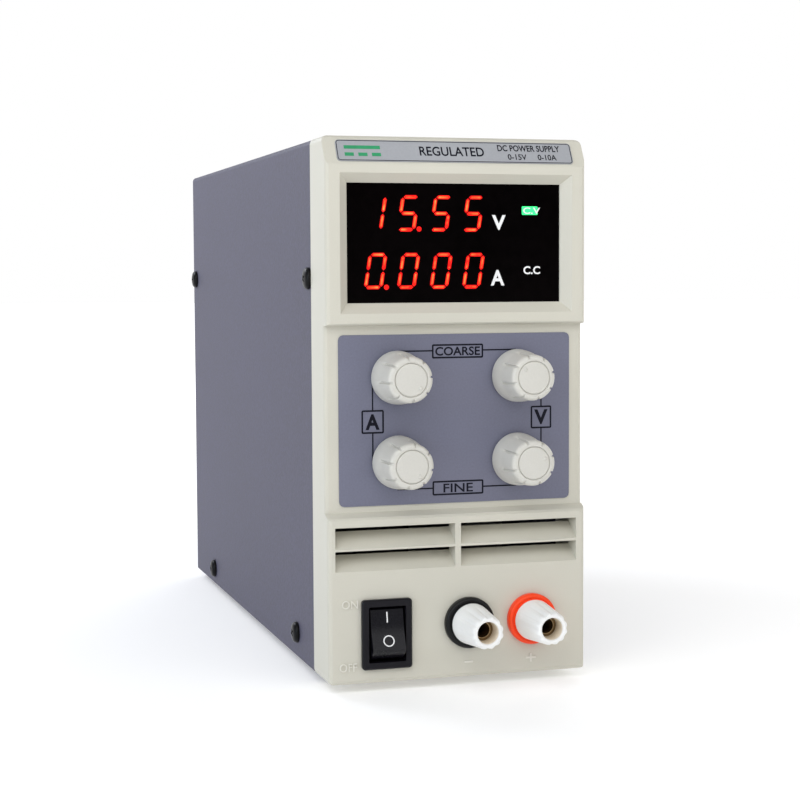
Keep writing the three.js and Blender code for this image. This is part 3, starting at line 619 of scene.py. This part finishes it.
def rocker_switch():
    x, _, z = centre_mm("switch_body")

    def box(half_width, half_height, r):
        return round_box(x - half_width, x + half_width, z - half_height, z + half_height, r)

    def loop(bm, outline, y):
        return [bm.verts.new(at(u, y, v)) for u, v in outline]

    # frame: a rounded outer rectangle with a soft edge, the opening, and the body behind the panel
    bm = bmesh.new()
    outer, soft, opening = box(7.6, 10.3, 1.0), box(7.2, 9.9, 0.7), box(5.65, 8.25, 0.35)
    rows = ((outer, 0), (outer, -1.15), (soft, -1.6), (opening, -1.6), (opening, 11.0))
    loops = [loop(bm, outline, y) for outline, y in rows]
    for a, b in zip(loops, loops[1:]):
        join_loops(bm, a, b)
    bm.faces.new(loops[-1])
    near, far = (loop(bm, box(6.5, 9.6, 0.3), y) for y in (0, 13))
    join_loops(bm, near, far)
    join_loops(bm, loops[0], near)
    bm.faces.new(far)
    piece("switch_frame", bm, "chassis", "switch_plastic", replaces=["switch_body"])

    # paddle, as (y, z) from the pivot: a face that dips in the middle, and a round back
    half = [(FACE_MIDDLE + (FACE_END - FACE_MIDDLE) * t ** 1.2, FACE_HALF * t)
            for t in (0, 0.25, 0.5, 0.75, 0.93)]
    half += [(-PADDLE_RADIUS * math.cos(math.radians(a)), PADDLE_RADIUS * math.sin(math.radians(a)))
             for a in range(47, 100, 4)]
    half.append((3.2, 6.4))
    level = half + [(y, -v) for y, v in half[:0:-1]]

    def tilted(y, v):
        return PIVOT + y * math.cos(ROCK) + v * math.sin(ROCK), v * math.cos(ROCK) - y * math.sin(ROCK)
    turned = [(y, z + v) for y, v in (tilted(*point) for point in level)]
    bm = bmesh.new()
    slab(bm, turned, PADDLE_WIDTH, at(x - PADDLE_WIDTH / 2, 0, 0), right=Y, up=Z, out=X)
    bevel(bm, 0.28, 3, 50)
    piece("rocker_paddle", bm, "power_rocker", "switch_plastic", smooth=30, replaces=["power_rocker"],
          material=MATERIALS["rocker_face"])

    # white inlays on the two halves of the face: a bar on the pressed half, a ring on the standing half
    dip, pressed, standing = tilted(FACE_MIDDLE, 0), tilted(FACE_END, FACE_HALF), tilted(FACE_END, -FACE_HALF)

    def inlay(end, share):
        dy, dz = end[0] - dip[0], end[1] - dip[1]
        along = Vector((0, dy, dz)).normalized() * (1 if dz > 0 else -1)
        out = Vector((0, -along.z, along.y))
        middle = at(x, 0, z) + Vector((0, dip[0] + share * dy, dip[1] + share * dz)) / 1000
        return dict(origin=middle + out * INLAY_LIFT, up=along, out=out)
    bm = bmesh.new()
    slab(bm, round_box(-0.19, 0.19, -1.6, 1.6, 0.17), INLAY, **inlay(pressed, 0.62))
    piece("rocker_bar", bm, "power_rocker", "print_white", smooth=20)
    bm = bmesh.new()
    steps = [2 * math.pi * k / 40 for k in range(41)]
    for a, b in zip(steps, steps[1:]):
        corners = ((1.70, a), (1.70, b), (1.35, b), (1.35, a))
        slab(bm, [(r * math.cos(t), r * math.sin(t)) for r, t in corners], INLAY, **inlay(standing, 0.56))
    piece("rocker_ring", bm, "power_rocker", "print_white", smooth=20)


# ---- output posts ---------------------------------------------------------------------------------
WASHER_PROFILE = [
    (2.7, 6), (4.0, 6), (4.0, 0), (7.45, 0), (7.6, -0.2), (7.62, -1.5), (7.5, -2.0), (7.2, -2.3),
    (6.8, -2.45), (6.55, -2.42), (6.4, -2.25), (6.2, -2.25), (6.0, -2.6), (2.7, -2.6)]
CAP_PROFILE = [
    (3.9, -2.9), (5.7, -2.9), (5.98, -3.0), (6.08, -3.3), (6.02, -4.2), (5.75, -7.0), (5.4, -11.0),
    (5.05, -15.0), (4.88, -16.8), (4.74, -17.6), (4.5, -18.0), (4.2, -18.18), (3.55, -18.2), (3.3, -18.0),
    (3.2, -17.6), (3.2, -12.3), (3.9, -12.3)]
TUBE_PROFILE = [
    (0, 1), (2.05, 1), (2.05, -11.6), (2.24, -12.4), (2.31, -12.58), (2.4, -12.6), (2.46, -12.5),
    (2.5, -12.2), (2.5, 14), (0, 14)]
CAP_BORE, TUBE_BORE = 3.22, 2.26  # mm, radii that take the darker materials: painted shade in the caps' mouths and the tubes' bores
FLUTES, FLUTE_DEPTH, FLUTE_HALF = 12, 0.42, 0.95  # mm deep, mm half wide
FLUTE_KEEP = 4.3  # mm, radii under this stay whole
FLUTE_START, FLUTE_FULL = -4.0, -14.0  # mm, heights where a flute begins and is at its depth


def flutes(a, r, h):
    """Lathe shape: V grooves that deepen towards the tip, leaving inner radii alone."""
    if r < FLUTE_KEEP or h >= FLUTE_START:
        return r
    share = min(1.0, (h - FLUTE_START) / (FLUTE_FULL - FLUTE_START))
    return r - FLUTE_DEPTH * share ** 0.6 * max(0.0, 1 - turn_from(a, 0, FLUTES) * r / FLUTE_HALF)


def posts():
    for name, slot in (("negative", "post_black"), ("positive", "post_red")):
        x, _, z = centre_mm("post_base_" + name)
        middle = at(x, 0, z)
        piece("post_washer_" + name, lathe(WASHER_PROFILE, 96, middle), "chassis", slot,
              replaces=["post_base_" + name])
        # the thimble's inner wall takes the darker, warmer plastic: painted shade in its mouth
        piece("post_thimble_" + name, lathe(CAP_PROFILE, 144, middle, shape=flutes), "post_cap_" + name,
              "cap_plastic", smooth=40, replaces=["post_cap_" + name],
              inner=(MATERIALS["cap_inner_painted_shade"], middle, CAP_BORE))
        # the faces inside the tube's bore take the near-black brown: painted shade
        piece("post_tube_" + name, lathe(TUBE_PROFILE, 64, middle), "chassis", "brass",
              replaces=["post_stud_" + name], inner=(MATERIALS["bore_painted_shade"], middle, TUBE_BORE))


MARK_HEIGHT, POLE_WIDTH, POLE_HEIGHT, POLE_Z = 0.4, 0.54, 0.35, 4.6  # mm: raised words, then poles


def embossed():
    """Raised marks in the bezel's own plastic, drawn a touch lighter as a painted highlight."""
    look = MATERIALS["mark_painted_highlight"]
    for name, text, box in (("mark_on", "ON", (-36.0, -31.2, 22.5, 24.9)),
                            ("mark_off", "OFF", (-36.8, -31.6, 4.0, 6.4))):
        lettering(name, text, box, "chassis", "bezel_plastic", at(0, 0, 0), depth=MARK_HEIGHT, material=look)
    minus = [((-1.3, 0), (1.3, 0))]
    plus = [((-1.6, 0), (1.6, 0)), ((0, 0.27), (0, 1.3)), ((0, -0.27), (0, -1.3))]
    for pole, lines in (("negative", minus), ("positive", plus)):
        middle = at(centre_mm("post_base_" + pole)[0], 0, POLE_Z)
        bm = bmesh.new()
        for a, b in lines:
            ribbon(bm, a, b, POLE_WIDTH, POLE_HEIGHT, middle)
        piece("mark_" + pole, bm, "chassis", "bezel_plastic", smooth=20, material=look)


# ---- screws with cross recesses ---------------------------------------------------------------------
SIDE_SHANK, SIDE_HEAD, SIDE_HEIGHT = 5, 3.3, 1.9  # mm: shank length, head radius, head height
REAR_SHANK, REAR_HEAD, REAR_HEIGHT = 12, 3.0, 1.8  # mm, likewise


def screw_mesh(name, shank, size):
    """Pan head on +Z with its seat at z = 0, a cross recess cut in, and the shank below."""
    head = [(0, -shank), (1.2, -shank), (1.5, -shank + 0.5), (1.5, 0), (size - 0.1, 0), (size, 0.25),
            (size - 0.05, 0.75), (size - 0.3, 1.2), (size - 0.8, 1.55), (1.5, 1.76), (0.8, 1.86),
            (0, SIDE_HEIGHT)]
    solid = mesh_of(lathe(head, 40, Vector(), axis=Z, zero=X), name)
    arm, w = 1.5, 0.34  # mm, the recess at its top
    plus = [(arm, -w), (arm, w), (w, w), (w, arm), (-w, arm), (-w, w), (-arm, w), (-arm, -w), (-w, -w),
            (-w, -arm), (w, -arm), (w, -w)]
    bm = bmesh.new()
    top = [bm.verts.new(Vector((a, b, 2.6)) / 1000) for a, b in plus]
    low = [bm.verts.new(Vector((a * 0.55, b * 0.7, 0.75)) / 1000) for a, b in plus]
    bm.faces.new(top)
    bm.faces.new(low[::-1])
    join_loops(bm, low, top)
    cutter = mesh_of(bm, name + "_cutter")
    a, b = bpy.data.objects.new(name, solid), bpy.data.objects.new(name + "_cutter", cutter)
    scene.collection.objects.link(a)
    scene.collection.objects.link(b)
    step = a.modifiers.new("recess", "BOOLEAN")
    step.operation, step.solver, step.object = "DIFFERENCE", "EXACT", b
    bpy.context.view_layer.update()
    made = bpy.data.meshes.new_from_object(a.evaluated_get(bpy.context.evaluated_depsgraph_get()))
    bpy.data.objects.remove(a)
    bpy.data.objects.remove(b)
    return made


def screws():
    side = screw_mesh("side_screw", SIDE_SHANK, SIDE_HEAD)
    rear = screw_mesh("rear_screw", REAR_SHANK, REAR_HEAD)
    for node in sorted(nodes):
        if not node.startswith(("cover_screw", "fan_screw")):
            continue
        low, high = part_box(node)
        middle = (low + high) / 2
        mesh = (side if node.startswith("cover") else rear).copy()
        if node.startswith("cover_screw_left"):
            out, seat = -X, Vector((low.x + SIDE_HEIGHT / 1000, middle.y, middle.z))
        elif node.startswith("cover_screw"):
            out, seat = X, Vector((high.x - SIDE_HEIGHT / 1000, middle.y, middle.z))
        else:
            out, seat = Y, Vector((middle.x, high.y - REAR_HEIGHT / 1000, middle.z))
            mesh.transform(Matrix.Diagonal((1, 1, REAR_HEIGHT / SIDE_HEIGHT, 1)))
        spin = sum(ord(c) for c in node) % 90  # each recess stands at its own angle
        mesh.transform(Matrix.Translation(seat) @ out.to_track_quat("Z", "Y").to_matrix().to_4x4()
                       @ Matrix.Rotation(math.radians(spin), 4, "Z"))
        bm = bmesh.new()
        bm.from_mesh(mesh)
        piece("head_" + node, bm, "chassis", "screw_black", smooth=30, replaces=[node])


FOOT_PROFILE = [(0, 1.3), (1.7, 1.3), (1.7, 0.05), (1.9, 0), (5.0, 0), (5.35, 0.12), (5.6, 0.4), (5.95, 2.2),
                (6.0, 2.9), (0, 2.9)]


def feet():
    for node in sorted(n for n in nodes if n.startswith("foot_")):
        low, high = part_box(node)
        middle = Vector(((low.x + high.x) / 2, (low.y + high.y) / 2, low.z))
        piece("pad_" + node, lathe(FOOT_PROFILE, 48, middle, axis=Z, zero=X), "chassis", "foot_rubber",
              replaces=[node])


# ---- fan -----------------------------------------------------------------------------------------------
WIRE_RADIUS, WIRE_SIDES = 0.72, 10  # mm
GUARD_RINGS = (27.5, 20.5, 13.5, 6.5)  # mm
GUARD_DEPTH, HUB_GAP = 0.8, 0.1  # mm, wires' middle and hub's face behind the start of their boxes
SPOKE_START, SPOKE_END, SPOKE_STEPS = 5.2, 32.4, 8  # mm
EYE_RADIUS, EYE_PLACE = 2.65, 35.36  # mm, the wire loop under each screw
HUB_PROFILE = [(0, 0), (12.0, 0), (12.5, 0.5), (12.5, 14.2), (12.1, 15.2), (11.2, 15.7), (0, 15.8)]
BLADES, BLADE_SECTIONS, BLADE_POINTS = 7, 8, 12
BLADE_START, BLADE_SPAN, CHORD, CHORD_GAIN = 12.2, 15.0, 12.2, 1.5  # mm
PITCH, PITCH_LOSS, SWEEP = 52, 22, 16  # degrees: at the hub, less at the tip, on at the tip
THICK, THICK_EDGE, CAMBER = 0.62, 0.12, 1.1  # mm
BLADE_SQUEEZE = 0.95  # along the fan's axis


def wire(bm, points, closed=True):
    """A round wire through points, all on one plane facing Y."""
    rings = []
    n = len(points)
    for i, p in enumerate(points):
        a = points[(i - 1) % n] if closed or i else p
        b = points[(i + 1) % n] if closed or i < n - 1 else p
        side = (b - a).normalized().cross(Y).normalized()
        ring = []
        for k in range(WIRE_SIDES):
            t = 2 * math.pi * k / WIRE_SIDES
            ring.append(bm.verts.new(p + (side * math.cos(t) + Y * math.sin(t)) * WIRE_RADIUS / 1000))
        rings.append(ring)
    for a, b in zip(rings, rings[1:] + rings[:1] if closed else rings[1:]):
        join_loops(bm, a, b)
    if not closed:
        bm.faces.new(rings[0])
        bm.faces.new(rings[-1][::-1])


def circle(middle, radius, steps):
    """Points on a circle facing Y, radius in mm."""
    angles = [2 * math.pi * k / steps for k in range(steps)]
    return [middle + Vector((math.sin(a), 0, math.cos(a))) * radius / 1000 for a in angles]


def blade_section(t):
    """(across, height) in mm round one section of a blade, t from 0 at the hub to 1 at the tip."""
    pitch, chord = math.radians(PITCH - PITCH_LOSS * t), CHORD + CHORD_GAIN * t
    points, half = [], BLADE_POINTS // 2
    for k in range(BLADE_POINTS):
        s = k / half - 1 if k <= half else 1 - (k - half) / half
        face = 1 if k < half else -1 if k > half else 0
        u, v = s * chord / 2, (THICK * (1 - abs(s) ** 3) + THICK_EDGE) * face + CAMBER * (1 - s * s)
        points.append((u * math.cos(pitch) - v * math.sin(pitch), u * math.sin(pitch) + v * math.cos(pitch)))
    return points


def fan():
    low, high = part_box("fan_guard")
    centre = Vector(((low.x + high.x) / 2, low.y + GUARD_DEPTH / 1000, (low.z + high.z) / 2))
    bm = bmesh.new()
    for radius in GUARD_RINGS:
        wire(bm, circle(centre, radius, 72))
    for a in (45, 135, 225, 315):
        along = Vector((math.sin(math.radians(a)), 0, math.cos(math.radians(a))))
        step = (SPOKE_END - SPOKE_START) / SPOKE_STEPS
        radii = [SPOKE_START + step * k for k in range(SPOKE_STEPS + 1)]
        wire(bm, [centre + along * r / 1000 for r in radii], closed=False)
        wire(bm, circle(centre + along * EYE_PLACE / 1000, EYE_RADIUS, 32))
    piece("guard_wires", bm, "chassis", "guard_steel", smooth=60, replaces=["fan_guard"])

    low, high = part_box("fan_rotor")
    bm = lathe(HUB_PROFILE, 64, Vector((0, low.y + HUB_GAP / 1000, centre.z)))
    centre = Vector((0, (low.y + high.y) / 2, centre.z))
    for blade in range(BLADES):
        sections = []
        for i in range(BLADE_SECTIONS + 1):
            t = i / BLADE_SECTIONS
            r, turn = BLADE_START + BLADE_SPAN * t, math.radians(360 / BLADES * blade + SWEEP * t)
            sections.append([])
            for across, height in blade_section(t):
                a = turn + across / r
                place = Vector((r * math.sin(a), height * BLADE_SQUEEZE, r * math.cos(a))) / 1000
                sections[-1].append(bm.verts.new(centre + place))
        for a, b in zip(sections, sections[1:]):
            join_loops(bm, a, b)
        bm.faces.new(sections[0][::-1])
        bm.faces.new(sections[-1])
    piece("fan_wheel", bm, "fan_rotor", "fan_plastic", smooth=40, replaces=["fan_rotor"])


# ---- rear panel ------------------------------------------------------------------------------------------
def rear_marks():
    origin = at(0, mm(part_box("chassis_tray")[1])[1], 0)
    for name, text, box in (("rear_230", "230 V", (-25.0, -15.0, 14.6, 17.2)),
                            ("rear_115", "115 V", (-25.0, -15.0, 50.6, 53.2)),
                            ("rear_fuse", "FUSE", (14.0, 22.0, 12.2, 14.6)),
                            ("rear_ac", "AC ~", (14.0, 22.0, 53.4, 56.0))):
        lettering(name, text, box, "chassis", "print_white", origin, right=-X, up=Z, out=Y)


make_camera()
display()
overlay_print()
strip_print()
for name, mark, turn in (("current_coarse", 131, -7), ("voltage_coarse", 312, -14), ("current_fine", 141, 10),
                         ("voltage_fine", 68, 27)):
    knob(name, mark, turn)
rocker_switch()
posts()
embossed()
screws()
feet()
fan()
rear_marks()

# ---- stage -------------------------------------------------------------------------------------------------
FLOOR_RADIUS, FLOOR_SIDES = 9, 96  # m
FLOOR_DROP = 0.0002  # m under the feet
LAMPS = (  # name, location, target, diameter, power, colour
    ("key", (-0.52, -0.78, 0.80), (0, -0.05, 0.08), 0.7, 1.7, (1, 1, 1)),
    ("high", (-0.3, -0.8, 1.0), (0, -0.05, 0.08), 1.3, 4.0, (1, 1, 1)),
    ("front", (0.15, -1.3, 0.75), (0, -0.05, 0.08), 0.9, 1.9, (1, 1, 1)),
    ("right", (0.7, -0.9, 0.7), (0, -0.05, 0.08), 0.8, 2.3, (1, 1, 1)),
    ("right_side", (1.15, 0.3, 0.4), (0, 0.05, 0.07), 0.8, 3.0, (1, 1, 1)),
    ("rear", (0.75, 1.2, 0.65), (0, 0.05, 0.06), 0.9, 5.5, (1, 1, 1)),
    ("left", (-1.2, -0.5, 0.35), (0, -0.05, 0.08), 0.6, 3.6, (0.66, 0.81, 1.0)),
    ("left_front", (-1.1, -0.9, 0.55), (0, -0.05, 0.08), 0.9, 2.7, (1, 1, 1)),
    ("left_rear", (-0.27, 0.32, 0.36), (-0.04, 0.12, 0.14), 0.22, 0.85, (0.85, 0.90, 1.0)))

bm = bmesh.new()
angles = [2 * math.pi * k / FLOOR_SIDES for k in range(FLOOR_SIDES)]
bm.faces.new([bm.verts.new((FLOOR_RADIUS * math.cos(a), FLOOR_RADIUS * math.sin(a), 0)) for a in angles])
mesh = bpy.data.meshes.new("floor")
bm.to_mesh(mesh)
bm.free()
floor = bpy.data.objects.new("floor", mesh)
floor.location = (0, 0, -FLOOR_DROP)
scene.collection.objects.link(floor)
mesh.materials.append(floor_material())

studio()
for lamp in LAMPS:
    area_light(*lamp)
